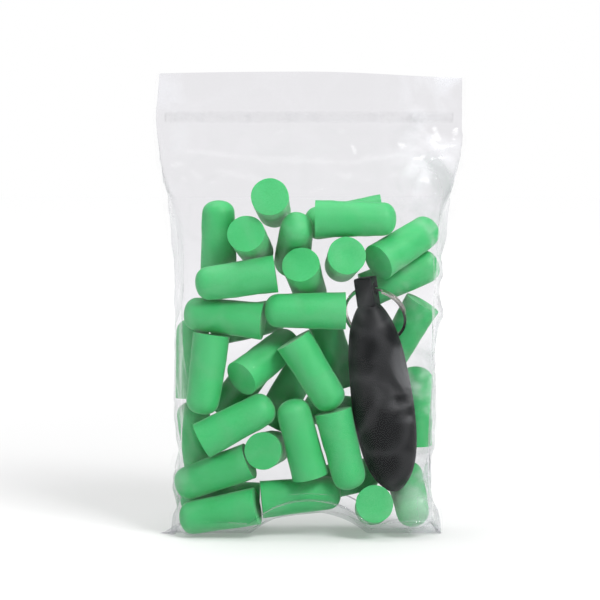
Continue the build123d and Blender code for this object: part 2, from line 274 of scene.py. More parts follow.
# ------------------------------------------------------------------ node trees
class Tree:
    """Adds and wires nodes in a material or a node group."""

    def __init__(self, tree: bpy.types.NodeTree) -> None:
        """Keeps the tree that nodes are added to."""
        self.tree = tree

    def add(self, kind: str, inputs: dict | None = None, **settings: object) -> bpy.types.Node:
        """Adds a node.

        Args:
            kind: the node's type without its ShaderNode prefix.
            inputs: values or output sockets for its inputs, by name or number.
            settings: the node's own settings.

        Returns:
            The new node.
        """
        node = self.tree.nodes.new("ShaderNode" + kind)
        for name, value in settings.items():
            setattr(node, name, value)
        for key, value in (inputs or {}).items():
            if isinstance(value, bpy.types.NodeSocket):
                self.tree.links.new(value, node.inputs[key])
            else:
                node.inputs[key].default_value = value
        return node

    def math(self, operation: str, *values: object, clamp: bool = False) -> bpy.types.NodeSocket:
        """A Math node's output for numbers or sockets."""
        inputs = dict(enumerate(values))
        return self.add("Math", inputs, operation=operation, use_clamp=clamp).outputs[0]

    def ranged(self, value: bpy.types.NodeSocket, low: float, high: float,
               to_low: float, to_high: float) -> bpy.types.NodeSocket:
        """A Map Range node's output, eased and clamped.

        Args:
            value: the number to map.
            low: where the range starts.
            high: where it ends.
            to_low: what its start becomes.
            to_high: what its end becomes.

        Returns:
            The mapped number.
        """
        inputs = {0: value, 1: low, 2: high, 3: to_low, 4: to_high}
        node = self.add("MapRange", inputs, interpolation_type="SMOOTHSTEP")
        return node.outputs[0]

    def mixed(self, share: object, first: object, second: object) -> bpy.types.NodeSocket:
        """A colour Mix node's output.

        Args:
            share: how much of the second colour, as a number or a socket.
            first: a colour or a socket.
            second: a colour or a socket.

        Returns:
            The mixed colour.
        """
        node = self.add("Mix", data_type="RGBA")
        for key, value in ((0, share), (6, first), (7, second)):
            if isinstance(value, bpy.types.NodeSocket):
                self.tree.links.new(value, node.inputs[key])
            else:
                node.inputs[key].default_value = value
        return node.outputs[2]


def new_material(name: str) -> tuple[bpy.types.Material, Tree]:
    """An empty node material.

    Args:
        name: the material's name.

    Returns:
        The material and its tree.
    """
    material = bpy.data.materials.new(name)
    material.use_nodes = True
    material.node_tree.nodes.clear()
    return material, Tree(material.node_tree)


def new_group(name: str, inputs: dict[str, float], outputs: list[str]) -> tuple[Tree, dict, dict]:
    """A node group whose first input is a vector and whose other inputs are numbers.

    Args:
        name: the group's name.
        inputs: the number inputs and their defaults.
        outputs: the number outputs.

    Returns:
        The group's tree, its inputs and its outputs, as sockets inside the group.
    """
    group = bpy.data.node_groups.new(name, "ShaderNodeTree")
    group.interface.new_socket("Vector", in_out="INPUT", socket_type="NodeSocketVector")
    for key, value in inputs.items():
        socket = group.interface.new_socket(key, in_out="INPUT", socket_type="NodeSocketFloat")
        socket.default_value = value
    for key in outputs:
        group.interface.new_socket(key, in_out="OUTPUT", socket_type="NodeSocketFloat")
    start = group.nodes.new("NodeGroupInput")
    end = group.nodes.new("NodeGroupOutput")
    return Tree(group), {s.name: s for s in start.outputs}, {s.name: s for s in end.inputs}


class Effects:
    """The shared surface effects, each built once as a node group."""

    def __init__(self) -> None:
        """Builds all the effects."""
        self.pores = self.build_pores()
        self.dust = self.build_dust()
        self.crinkle = self.build_crinkle()

    def build_pores(self) -> bpy.types.NodeTree:
        """Fine foam cells: Height for a bump, Mottle for the colour.

        Returns:
            The effect.
        """
        name = "foam_pores"
        tree, start, end = new_group(name, {"Cell": 0.00035, "Depth": 1.0}, ["Height", "Mottle"])
        size = tree.math("DIVIDE", 1.0, start["Cell"])
        cells = tree.add("TexVoronoi", {"Vector": start["Vector"], "Scale": size},
                         feature="SMOOTH_F1")
        dots = tree.ranged(cells.outputs["Distance"], 0.12, 0.55, 0.0, 1.0)
        soft = tree.add("TexNoise", {"Vector": start["Vector"],
                                     "Scale": tree.math("MULTIPLY", size, 0.35), "Detail": 3.0})
        height = tree.math("ADD", dots, tree.math("MULTIPLY", soft.outputs["Fac"], 1.4))
        height = tree.math("MULTIPLY", height, start["Depth"])
        cloud = tree.add("TexNoise", {"Vector": start["Vector"],
                                      "Scale": tree.math("MULTIPLY", size, 0.06), "Detail": 4.0})
        mottle = tree.math("MULTIPLY", dots, 0.4)
        mottle = tree.math("ADD", mottle, tree.math("MULTIPLY", cloud.outputs["Fac"], 0.6))
        tree.tree.links.new(height, end["Height"])
        tree.tree.links.new(mottle, end["Mottle"])
        return tree.tree

    def build_dust(self) -> bpy.types.NodeTree:
        """Sparse specks and faint rubbed patches, as masks.

        Returns:
            The effect.
        """
        tree, start, end = new_group("dust_and_scuffs", {"Speck": 0.0011, "Amount": 1.0},
                                     ["Specks", "Scuffs"])
        size = tree.math("DIVIDE", 1.0, start["Speck"])
        cells = tree.add("TexVoronoi", {"Vector": start["Vector"], "Scale": size,
                                        "Randomness": 1.0})
        near = tree.ranged(cells.outputs["Distance"], 0.06, 0.1, 1.0, 0.0)
        some = tree.math("GREATER_THAN", cells.outputs["Color"], 0.72)
        specks = tree.math("MULTIPLY", tree.math("MULTIPLY", near, some), start["Amount"])
        rub = tree.add("TexNoise", {"Vector": start["Vector"], "Detail": 6.0, "Roughness": 0.7,
                                    "Scale": tree.math("MULTIPLY", size, 0.14)})
        scuffs = tree.ranged(rub.outputs["Fac"], 0.52, 0.72, 0.0, 1.0)
        scuffs = tree.math("MULTIPLY", scuffs, start["Amount"])
        tree.tree.links.new(specks, end["Specks"])
        tree.tree.links.new(scuffs, end["Scuffs"])
        return tree.tree

    def build_crinkle(self) -> bpy.types.NodeTree:
        """Sharp creases and soft waves of thin film, as a height, and the creases as a mask.

        Returns:
            The effect.
        """
        tree, start, end = new_group("film_crinkle", {"Crease": 0.016, "Depth": 1.0},
                                     ["Height", "Creases"])
        size = tree.math("DIVIDE", 1.0, start["Crease"])
        bend = tree.add("TexNoise", {"Vector": start["Vector"], "Scale": size, "Detail": 2.0})
        bent = tree.add("VectorMath", {0: bend.outputs["Color"], 1: (0.012, 0.012, 0.012)},
                        operation="MULTIPLY")
        bent = tree.add("VectorMath", {0: start["Vector"], 1: bent.outputs[0]}, operation="ADD")
        cells = tree.add("TexVoronoi", {"Vector": bent.outputs[0], "Scale": size},
                         feature="DISTANCE_TO_EDGE")
        folds = tree.ranged(cells.outputs["Distance"], 0.0, 0.16, 1.0, 0.0)
        soft = tree.add("TexNoise", {"Vector": start["Vector"], "Detail": 2.0,
                                     "Scale": tree.math("MULTIPLY", size, 1.6)})
        height = tree.math("ADD", folds, tree.math("MULTIPLY", soft.outputs["Fac"], 1.5))
        height = tree.math("MULTIPLY", height, start["Depth"])
        tree.tree.links.new(height, end["Height"])
        tree.tree.links.new(folds, end["Creases"])
        return tree.tree

    def place(self, tree: Tree, group: bpy.types.NodeTree, **values: float) -> bpy.types.Node:
        """Puts an effect in a material, reading Object coordinates.

        Args:
            tree: the material's tree.
            group: the effect.
            values: numbers for its inputs.

        Returns:
            The group node.
        """
        place = tree.add("TexCoord").outputs["Object"]
        return tree.add("Group", {"Vector": place, **values}, node_tree=group)


# ------------------------------------------------------------------ finishes
@dataclass(frozen=True)
class FoamFinish:
    """Slow-recovery foam: matt, softly glowing, with a fine skin of pores."""

    light: Color = (0.050, 0.490, 0.155, 1.0)
    deep: Color = (0.032, 0.430, 0.115, 1.0)
    roughness: float = 0.55
    pore_depth: float = 0.00003

    def material(self, effects: Effects) -> bpy.types.Material:
        """Builds the material.

        Args:
            effects: the shared effects.

        Returns:
            The material.
        """
        material, tree = new_material("green_foam")
        pores = effects.place(tree, effects.pores)
        colour = tree.mixed(tree.ranged(pores.outputs["Mottle"], 0.25, 0.75, 0.0, 1.0),
                            self.deep, self.light)
        bump = tree.add("Bump", {"Height": pores.outputs["Height"], "Strength": 0.3,
                                 "Distance": self.pore_depth})
        shader = tree.add("BsdfPrincipled", {
            "Base Color": colour, "Roughness": self.roughness, "Normal": bump.outputs[0],
            "Specular IOR Level": 0.5, "Sheen Weight": 0.3, "Sheen Roughness": 0.35,
            "Sheen Tint": (0.75, 1.0, 0.8, 1.0), "Subsurface Weight": 0.25,
            "Subsurface Radius": (0.4, 1.0, 0.5), "Subsurface Scale": 0.0012})
        tree.add("OutputMaterial", {"Surface": shader.outputs[0]})
        return material


@dataclass(frozen=True)
class FilmFinish:
    """Thin clear polyethylene with a slight milky veil and a shiny skin."""

    name: str = "clear_film"
    veil: float = 0.001
    edge_veil: float = 0.42
    clear: Color = (0.906, 0.902, 0.914, 1.0)
    milk: Color = (0.72, 0.73, 0.76, 1.0)
    gloss: float = 0.006
    crease_depth: float = 0.0004
    # How strongly the painted glare patches whiten the film.
    stretch_haze: float = 0.34

    def haze(self, tree: Tree) -> bpy.types.NodeSocket:
        """Painted glare: pale milky patches that stand for the film's glare, strongest towards the bag's right
        side and weaker on its left.

        Args:
            tree: the material's tree.

        Returns:
            How milky each place is.
        """
        place = tree.add("TexCoord").outputs["Object"]
        cloud = tree.add("TexNoise", {"Vector": place, "Scale": 46.0, "Detail": 3.0,
                                      "Roughness": 0.6, "Distortion": 0.6})
        patch = tree.ranged(cloud.outputs["Fac"], 0.44, 0.66, 0.0, self.stretch_haze)
        across = tree.add("SeparateXYZ", {0: place}).outputs[0]
        right = tree.ranged(across, 0.022, 0.040, 0.05, 1.0)
        left = tree.ranged(across, -0.048, -0.034, 0.6, 0.0)
        return tree.math("MULTIPLY", patch, tree.math("MAXIMUM", right, left))

    def material(self, effects: Effects) -> bpy.types.Material:
        """Builds the material.

        Args:
            effects: the shared effects.

        Returns:
            The material.
        """
        material, tree = new_material(self.name)
        crinkle = effects.place(tree, effects.crinkle)
        bump = tree.add("Bump", {"Height": crinkle.outputs["Height"], "Strength": 0.35,
                                 "Distance": self.crease_depth})
        facing = tree.add("LayerWeight", {"Blend": 0.5})
        edge = tree.math("POWER", facing.outputs["Facing"], 3.0)
        veil = tree.math("MULTIPLY_ADD", edge, self.edge_veil, self.veil)
        crease = tree.math("MULTIPLY", crinkle.outputs["Creases"], 0.02)
        veil = tree.math("ADD", veil, crease)
        # Adds the painted glare patches to the veil.
        veil = tree.math("ADD", veil, self.haze(tree), clamp=True)
        clear = tree.add("BsdfTransparent", {"Color": self.clear})
        milky = tree.add("BsdfPrincipled", {
            "Base Color": self.milk, "Roughness": 0.4, "Normal": bump.outputs[0],
            "Specular IOR Level": 0.3})
        body = tree.add("MixShader", {0: veil, 1: clear.outputs[0], 2: milky.outputs[0]})
        shine = tree.add("BsdfGlossy", {"Color": (1.0, 1.0, 1.0, 1.0), "Roughness": 0.08,
                                        "Normal": bump.outputs[0]})
        tilted = tree.add("LayerWeight", {"Blend": 0.5, "Normal": bump.outputs[0]})
        mirror = tree.math("POWER", tilted.outputs["Facing"], 5.0)
        mirror = tree.math("MULTIPLY_ADD", mirror, 0.8, self.gloss)
        skin = tree.add("MixShader", {0: mirror, 1: body.outputs[0],
                                      2: shine.outputs[0]})
        tree.add("OutputMaterial", {"Surface": skin.outputs[0]})
        return material


@dataclass(frozen=True)
class RubberFinish:
    """Soft-touch black rubber with faint scuffs and specks of dust."""

    base: Color = (0.0015, 0.0025, 0.003, 1.0)
    rubbed: Color = (0.005, 0.007, 0.008, 1.0)
    roughness: float = 0.46

    def material(self, effects: Effects) -> bpy.types.Material:
        """Builds the material.

        Args:
            effects: the shared effects.

        Returns:
            The material.
        """
        material, tree = new_material("soft_touch_rubber")
        dust = effects.place(tree, effects.dust)
        grain = tree.add("TexNoise", {"Vector": tree.add("TexCoord").outputs["Object"],
                                      "Scale": 5000.0, "Detail": 1.0})
        share = tree.math("MULTIPLY", dust.outputs["Scuffs"], 0.6)
        colour = tree.mixed(share, self.base, self.rubbed)
        colour = tree.mixed(tree.math("MULTIPLY", dust.outputs["Specks"], 0.25), colour,
                            (0.25, 0.25, 0.25, 1.0))
        rough = tree.math("MULTIPLY_ADD", dust.outputs["Scuffs"], 0.14, self.roughness)
        bump = tree.add("Bump", {"Height": grain.outputs["Fac"], "Strength": 0.1,
                                 "Distance": 0.00001})
        shader = tree.add("BsdfPrincipled", {
            "Base Color": colour, "Roughness": rough, "Normal": bump.outputs[0],
            "Specular IOR Level": 0.2})
        tree.add("OutputMaterial", {"Surface": shader.outputs[0]})
        return material


@dataclass(frozen=True)
class NickelFinish:
    """Bright nickel wire with hair-fine wear."""

    base: Color = (0.86, 0.82, 0.76, 1.0)
    worn: Color = (0.66, 0.62, 0.57, 1.0)

    def material(self, effects: Effects) -> bpy.types.Material:
        """Builds the material.

        Args:
            effects: the shared effects.

        Returns:
            The material.
        """
        material, tree = new_material("bright_nickel")
        dust = effects.place(tree, effects.dust, Speck=0.0005)
        colour = tree.mixed(dust.outputs["Scuffs"], self.base, self.worn)
        rough = tree.math("MULTIPLY_ADD", dust.outputs["Scuffs"], 0.16, 0.16)
        shader = tree.add("BsdfPrincipled", {
            "Base Color": colour, "Metallic": 1.0, "Roughness": rough})
        tree.add("OutputMaterial", {"Surface": shader.outputs[0]})
        return material


# ------------------------------------------------------------------ ear plugs
@dataclass
class EarPlugs:
    """The heap of tapered foam plugs, one piece for each CAD plug."""

    finish: FoamFinish
    effects: Effects
    dome: float = 4.6 * MM
    dome_power: float = 2.3
    around: int = 40
    lengthwise: int = 10
    dent: float = 0.1 * MM
    pieces: list[bpy.types.Object] = field(default_factory=list)

    def build(self) -> None:
        """Models one plug and puts a slightly different copy at each CAD plug."""
        material = self.finish.material(self.effects)
        nodes = sorted(n for n in frame["nodes"] if n.startswith("ear_plug_"))
        master = None
        for number, node in enumerate(nodes, 1):
            foot, axis, length, radius, tip_radius = self.measure(frame["nodes"][node])
            if master is None:
                master = self.model(length, radius, tip_radius)
            plug = copy_of(master, f"foam_plug_{number:02d}")
            self.shape(plug, number)
            turn = axis.to_track_quat("Z", "Y").to_matrix().to_4x4()
            spin = Matrix.Rotation(number * 2.4, 4, "Z")
            plug.data.transform(Matrix.Translation(foot) @ turn @ spin)
            plug.data.materials.append(material)
            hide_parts(node)
            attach(plug, body_of_node(node))
            self.pieces.append(plug)
        remove(master)
        log.info("%d foam plugs of %.1f by %.1f mm", len(self.pieces), length / MM, 2 * radius / MM)

    def measure(self, node: bpy.types.Object) -> tuple[Vector, Vector, float, float, float]:
        """Reads a CAD plug's flat end, axis and size from its mesh.

        Args:
            node: the plug's CAD node.

        Returns:
            The middle of its flat end, its unit axis, its length and its two radii.
        """
        co = points_of(node)
        rough_axis = np.linalg.svd(co - co.mean(0), full_matrices=False)[2][0]
        normals = np.array([p.normal[:] for p in node.data.polygons])
        areas = np.array([p.area for p in node.data.polygons])
        centres = np.array([p.center[:] for p in node.data.polygons])
        ends = []
        for sign in (1, -1):
            flat = normals @ rough_axis * sign > 0.995
            ends.append((areas[flat].sum(), sign))
        sign = max(ends)[1]
        flat = normals @ rough_axis * sign > 0.995
        axis = -(normals[flat] * areas[flat, None]).sum(0)
        axis /= np.linalg.norm(axis)
        foot = (centres[flat] * areas[flat, None]).sum(0) / areas[flat].sum()
        along = (co - foot) @ axis
        out = np.linalg.norm(co - foot - along[:, None] * axis, axis=1)
        length = float(along.max())
        tip = out[along > length - self.dome - 0.4 * MM].max()
        return Vector(foot), Vector(axis), length, float(out.max()), float(tip)

    def model(self, length: float, radius: float, tip_radius: float) -> bpy.types.Object:
        """Models a plug on its flat end: a disc raised ring by ring to a blunt dome.

        Args:
            length: the plug's length.
            radius: its radius at the flat end.
            tip_radius: its radius where the dome starts.

        Returns:
            The finished plug.
        """
        deselect_all()
        bpy.ops.mesh.primitive_circle_add(vertices=self.around, radius=radius, fill_type="NGON")
        plug = named("plug_master")
        bpy.ops.object.mode_set(mode="EDIT")
        bpy.ops.mesh.select_mode(type="FACE")
        bpy.ops.mesh.select_all(action="SELECT")
        start = length - self.dome
        heights = [start * i / self.lengthwise for i in range(1, self.lengthwise + 1)]
        rings = [(z, radius + (tip_radius - radius) * z / start) for z in heights]
        for share in (0.3, 0.55, 0.75, 0.88, 0.96, 0.995):
            rings.append((start + self.dome * share,
                          tip_radius * (1 - share**self.dome_power) ** (1 / self.dome_power)))
        low, wide = 0.0, radius
        for z, r in rings:
            bpy.ops.mesh.extrude_region_move(TRANSFORM_OT_translate={"value": (0, 0, z - low)})
            bpy.ops.transform.resize(value=(r / wide, r / wide, 1), center_override=(0, 0, z))
            low, wide = z, r
        bpy.ops.mesh.poke()
        bpy.ops.object.mode_set(mode="OBJECT")
        self.dress_flat_end(plug, radius)
        subdivided(plug, 1)
        activate(plug)
        bpy.ops.object.shade_smooth_by_angle(angle=math.radians(50))
        return plug

    def dress_flat_end(self, plug: bpy.types.Object, radius: float) -> None:
        """Rings the flat end, so that its rim stays crisp and its face can be dented.

        Args:
            plug: the plug, standing on its flat end at Z = 0.
            radius: the flat end's radius.
        """
        select_none(plug, "FACE")
        mesh = bmesh.from_edit_mesh(plug.data)
        for face in mesh.faces:
            face.select_set(face.calc_center_median().z < 0.01 * MM and abs(face.normal.z) > 0.9)
        bmesh.update_edit_mesh(plug.data)
        for thickness in (0.12 * MM, 0.35 * MM, 1.3 * MM, 1.5 * MM):
            bpy.ops.mesh.inset(thickness=thickness)
        bpy.ops.mesh.poke()
        bpy.ops.mesh.select_all(action="SELECT")
        bpy.ops.mesh.normals_make_consistent(inside=False)
        bpy.ops.object.mode_set(mode="OBJECT")
        near = 0.05 * MM
        crease_rim(plug, lambda p: abs(math.hypot(p.x, p.y) - radius) < near and p.z < near)

    def shape(self, plug: bpy.types.Object, number: int) -> None:
        """Gives a copy its own slight dents and hollow flat end.

        Args:
            plug: the copy, standing on its flat end at the origin.
            number: the plug's number, which seeds its shape.
        """
        co = points_of(plug)
        random = np.random.default_rng(number)
        out = co * np.array([1.0, 1.0, 0.0])
        out /= np.maximum(np.linalg.norm(out, axis=1), 1e-9)[:, None]
        bumps = waves(co, 100 + number, 5, 11 * MM)
        fine = waves(co, 300 + number, 6, 4 * MM)
        inward = self.dent * (bumps - 1.0) + 0.05 * MM * (fine - 1.0)
        rim = np.hypot(co[:, 0], co[:, 1])
        hollow = 0.28 * MM * random.uniform(0.3, 1.2) * (1 - smoothstep(rim / (5.2 * MM)))
        at_foot = co[:, 2] < 0.05 * MM
        co += out * (inward * smoothstep(rim / (2 * MM)))[:, None]
        co[at_foot, 2] += hollow[at_foot]
        place_points(plug, co)


def crease_rim(piece: bpy.types.Object, chosen: Callable[[Vector], bool],
               sharpness: float = 0.75) -> None:
    """Makes edges sharp under subdivision where both ends pass a test.

    Args:
        piece: the piece whose edges are creased.
        chosen: a test of a vertex's place.
        sharpness: 1 keeps an edge fully sharp.
    """
    mesh = bmesh.new()
    mesh.from_mesh(piece.data)
    layer = mesh.edges.layers.float.get("crease_edge") or mesh.edges.layers.float.new("crease_edge")
    for edge in mesh.edges:
        if all(chosen(v.co) for v in edge.verts):
            edge[layer] = sharpness
    mesh.to_mesh(piece.data)
    mesh.free()


def body_of_node(node: str) -> str:
    """The CAD body that a node belongs to."""
    return next(b for b, nodes in frame["record"]["behaviour"]["bodies"].items() if node in nodes)


# ------------------------------------------------------------------ the bag
@dataclass(frozen=True)
class Crease:
    """A straight fold in a film, seen from its front: two ends and the fold's height and width.

    All four are in millimetres.
    """

    start: tuple[float, float]
    end: tuple[float, float]
    height: float
    width: float

    def rise(self, across: np.ndarray, up: np.ndarray) -> np.ndarray:
        """How far the fold stands out at places across and up the film.

        Args:
            across: places across the film.
            up: their heights.

        Returns:
            A distance for each place.
        """
        start, end = np.array(self.start) * MM, np.array(self.end) * MM
        along = end - start
        share = ((across - start[0]) * along[0] + (up - start[1]) * along[1]) / (along @ along)
        share = np.clip(share, 0, 1)
        far = np.hypot(across - start[0] - share * along[0], up - start[1] - share * along[1])
        fade = np.sqrt(np.clip(4 * share * (1 - share), 0.1, 1))
        return self.height * MM * fade * np.exp(-((far / (self.width * MM)) ** 2))


@dataclass
class FilmBag:
    """The bag's film: a tube drawn in until it rests on the heap, then cut into its pieces.

    A waist gives how far a side is drawn in at each height, in millimetres.
    """

    finish: FilmFinish
    seam_finish: FilmFinish
    effects: Effects
    flat_width: float = 0.100
    flat_height: float = 0.165
    columns: int = 104
    rows: int = 150
    left_ear: float = 49.6 * MM
    right_ear: float = 43.6 * MM
    arch_span: float = 19 * MM
    arch_rise: float = 7 * MM
    clearance: float = 0.22 * MM
    pull: float = 0.02 * MM
    passes: int = 260
    longest_travel: float = 11 * MM
    seam_out: float = 1.8 * MM
    weld_lap: float = 0.12 * MM
    weld_thickness: float = 0.11 * MM
    weld_ruffle: float = 0.25 * MM
    zip_base: float = 0.3 * MM
    zip_tongue: float = 0.85 * MM
    zip_wall: float = 0.5 * MM
    zip_legs: float = 0.82 * MM
    zip_edge: float = 0.09 * MM
    moving_middle: float = 14 * MM
    hinge_share: float = 0.76
    pieces: list[bpy.types.Object] = field(default_factory=list)
    body_width: float = field(init=False)
    body_depth: float = field(init=False)
    hinge: float = field(init=False)
    hinge_depth: float = field(init=False)
    zip_height: float = field(init=False)
    lip_width: float = field(init=False)
    top: float = field(init=False)
    left_waist: tuple = ((0, 0.0), (6, 1.0), (13, 4.8), (22, 2.0), (32, 4.6), (46, 2.4), (90, 2.4),
                         (104, 1.2), (112, 0.0))
    right_waist: tuple = ((0, 0.0), (8, 3.0), (16, 9.0), (24, 8.0), (35, 6.4), (60, 5.0),
                          (74, 4.4), (81, 5.4), (96, 2.1), (104, 1.2), (112, 0.0))
    creases: tuple = (
        Crease((-44, 124.5), (-20, 121.5), 0.9, 1.3), Crease((-20, 121.5), (12, 120.0), 0.8, 1.4),
        Crease((12, 120.0), (38, 124.0), 0.9, 1.2), Crease((38, 124.0), (49, 127.5), 1.2, 0.9),
        Crease((10, 132.5), (14, 125.0), 1.1, 1.1), Crease((25, 133.0), (29, 126.0), 0.9, 0.9),
        Crease((31, 131.0), (40, 125.0), 0.8, 0.9), Crease((33, 120.0), (45, 113.5), 1.1, 1.0),
        Crease((28, 110.0), (41, 103.0), 0.9, 1.1), Crease((39, 121.0), (42, 105.0), 0.8, 0.9),
        Crease((41, 99.0), (36, 84.0), 0.7, 0.9), Crease((-42, 118.0), (-36, 104.0), 0.8, 1.0),
        Crease((-43, 60.0), (-37, 50.0), 0.6, 0.9), Crease((38, 70.0), (42, 52.0), 0.8, 0.8),
        Crease((36, 40.0), (40, 24.0), 0.7, 0.8), Crease((-30, 118.0), (-12, 113.5), 0.6, 1.0),
        Crease((35, 99.0), (40, 84.0), 2.2, 3.8), Crease((38, 75.0), (41, 60.0), 1.6, 2.8),
        Crease((30, 118.0), (43, 108.0), 1.8, 3.2), Crease((-40, 82.0), (-41, 66.0), 1.3, 2.8),
        Crease((4, 118.0), (22, 113.0), 0.9, 1.6), Crease((37, 30.0), (40, 12.0), 1.2, 2.2))

    def read_frame(self) -> None:
        """Takes the bag's main places from the CAD nodes."""
        low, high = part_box("front_panel")
        self.body_width, self.body_depth = high.x, -low.y
        self.hinge = high.z
        joint = next(j for j in frame["joints"] if j["name"] == "front_mouth_open")
        self.hinge_depth = -joint["pos_m"][1]
        zip_low, zip_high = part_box("zip_rib")
        self.zip_height = (zip_low.z + zip_high.z) / 2
        self.lip_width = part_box("front_lip")[1].x
        self.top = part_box("front_lip")[1].z

    def stations(self) -> np.ndarray:
        """The bag's girth at a few heights, before it is drawn in.

        Returns:
            A row for each height: the share of the film's height, the height itself, the left and
            right half widths, half the depth, and how square the section is there.
        """
        w, d, lip = self.body_width, self.body_depth, self.lip_width
        zip_low, zip_high = self.zip_height - 2.6 * MM, self.zip_height + 2.6 * MM
        return np.array([
            (0.00, 0.0, self.left_ear, self.right_ear, 0.0, 2.0),
            (0.03, 0.0, self.left_ear - 2 * MM, self.right_ear, 5.0 * MM, 2.0),
            (0.07, 0.0, w, w - 2 * MM, 11.0 * MM, 2.6),
            (0.10, 4.5 * MM, w + 0.3 * MM, w - 0.6 * MM, d + 0.3 * MM, 4.0),
            (0.15, 12.5 * MM, w + 0.6 * MM, w + 0.6 * MM, d + 0.8 * MM, 5.0),
            (0.69, 101 * MM, w + 0.6 * MM, w + 0.6 * MM, d + 0.8 * MM, 5.0),
            (self.hinge_share, self.hinge, w + 0.6 * MM, w + 0.6 * MM, self.hinge_depth, 5.0),
            (0.83, self.hinge + 11 * MM, w + 2.6 * MM, w + 3.2 * MM, 7.2 * MM, 2.6),
            (0.90, zip_low, lip, lip, 1.75 * MM, 2.0),
            (0.933, zip_high, lip, lip, 1.75 * MM, 2.0),
            (0.95, zip_high + 2.6 * MM, lip - 0.4 * MM, lip, 0.6 * MM, 2.0),
            (1.00, self.top, lip - 1.2 * MM, lip, 0.55 * MM, 2.0),
        ])

    def build(self, heap: list[bpy.types.Object]) -> None:
        """Makes the film and all that is welded to it.

        Args:
            heap: what lies in the bag, for the film to rest on.
        """
        self.read_frame()
        tube = self.roll_tube()
        self.draw_in(tube, heap)
        material = self.finish.material(self.effects)
        seam_material = self.seam_finish.material(self.effects)
        self.cut_panels(tube, material)
        self.add_seams(tube, seam_material)
        self.add_zip(seam_material)
        remove(tube)

    def section(self, left: float, right: float, depth: float, power: float,
                shares: np.ndarray) -> np.ndarray:
        """Points of a section of the bag, evenly spaced round it.

        Args:
            left: how far it reaches to the left.
            right: how far it reaches to the right.
            depth: half its depth.
            power: 2 for an ellipse, more for a squarer section.
            shares: how far round each point is: 0 at the left seam, 0.5 at the right one.

        Returns:
            An array of (point, xy), front first.
        """
        angle = np.linspace(0, math.tau, 721)
        cos, sin = np.cos(angle), np.sin(angle)
        width, middle = (left + right) / 2, (right - left) / 2
        x = middle - width * np.sign(cos) * np.abs(cos) ** (2 / power)
        y = -depth * np.sign(sin) * np.abs(sin) ** (2 / power)
        far = np.concatenate([[0], np.cumsum(np.hypot(np.diff(x), np.diff(y)))])
        half = far[360]
        folded = np.where(far <= half, far / half / 2, 0.5 + (far - half) / (far[-1] - half) / 2)
        return np.stack([np.interp(shares, folded, x), np.interp(shares, folded, y)], 1)

    def arch(self, x: np.ndarray) -> np.ndarray:
        """How far the underside is pulled up between the two feet.

        Args:
            x: places across the bag.

        Returns:
            A height for each place.
        """
        radius = (self.arch_span**2 + self.arch_rise**2) / (2 * self.arch_rise)
        inside = np.sqrt(np.clip(radius**2 - x**2, 0, None))
        return np.maximum(inside - (radius - self.arch_rise), 0.0)

    def roll_tube(self) -> bpy.types.Object:
        """Rolls a grid into the bag's closed tube, folded shut along its bottom.

        Returns:
            The tube, with its shares of height and girth stored on it.
        """
        deselect_all()
        bpy.ops.mesh.primitive_grid_add(
            x_subdivisions=2 * self.columns, y_subdivisions=self.rows, size=1.0)
        tube = named("film_tube")
        grid = points_of(tube)
        round_share, up_share = grid[:, 0] + 0.5, grid[:, 1] + 0.5
        stations = self.stations()
        placed = np.empty_like(grid)
        for row in np.unique(up_share.round(6)):
            here = np.abs(up_share - row) < 1e-5
            height, *shape = (np.interp(row, stations[:, 0], stations[:, k]) for k in range(1, 6))
            outline = self.section(*shape, round_share[here])
            lift = self.arch(outline[:, 0]) * (1 - smoothstep((height - 4 * MM) / (14 * MM)))
            placed[here] = np.column_stack([outline, height + lift])
        place_points(tube, placed)
        for name, values in (("up_share", up_share), ("round_share", round_share)):
            layer = tube.data.attributes.new(name, "FLOAT", "POINT")
            layer.data.foreach_set("value", values.astype(np.float32))
        return tube

    def shares_of(self, piece: bpy.types.Object, name: str) -> np.ndarray:
        """A stored share for each of a piece's vertices.

        Args:
            piece: the piece to read.
            name: the share's name.

        Returns:
            The shares.
        """
        values = np.empty(len(piece.data.vertices), np.float32)
        piece.data.attributes[name].data.foreach_get("value", values)
        return values

    def draw_in(self, tube: bpy.types.Object, heap: list[bpy.types.Object]) -> None:
        """Draws the film in as a stretched skin until the heap stops it, and folds it a little.

        Args:
            tube: the film.
            heap: what it rests on.
        """
        wide, tall = 2 * self.columns + 1, self.rows + 1
        start = points_of(tube).reshape(tall, wide, 3)
        up = self.shares_of(tube, "up_share").reshape(tall, wide)
        inward = self.inward(start)
        room = self.room(start, inward, heap)
        free = smoothstep(up / 0.03) * (1 - smoothstep((up - self.hinge_share + 0.05) / 0.05))
        room = np.minimum(room, self.longest_travel * free)
        edge = np.zeros_like(room)
        for column, waist in ((0, self.left_waist), (self.columns, self.right_waist)):
            heights, depths = np.array(waist).T * MM
            edge[:, column] = np.minimum(np.interp(start[:, column, 2], heights, depths),
                                         room[:, column])
        edge[:, -1] = edge[:, 0]
        travel = np.zeros_like(room)
        for _ in range(self.passes):
            ring = travel[:, :-1]
            spread = (np.roll(ring, 1, 1) + np.roll(ring, -1, 1)) / 2
            high, low = np.vstack([ring[1:], ring[-1:]]), np.vstack([ring[:1], ring[:-1]])
            ring = (spread + (high + low) / 2) / 2 + self.pull
            travel = np.clip(np.column_stack([ring, ring[:, :1]]), 0, room)
            for column in (0, self.columns, -1):
                travel[:, column] = edge[:, column]
        loose = self.looseness(start, up)
        co = start + inward * (travel - loose)[:, :, None]
        co[:, -1] = co[:, 0]
        co[:, :, 2] = np.maximum(co[:, :, 2], 0.0) + self.mouth_wave(co, up)
        place_points(tube, co.reshape(-1, 3))
        log.info("film drawn in by up to %.1f mm", travel.max() / MM)

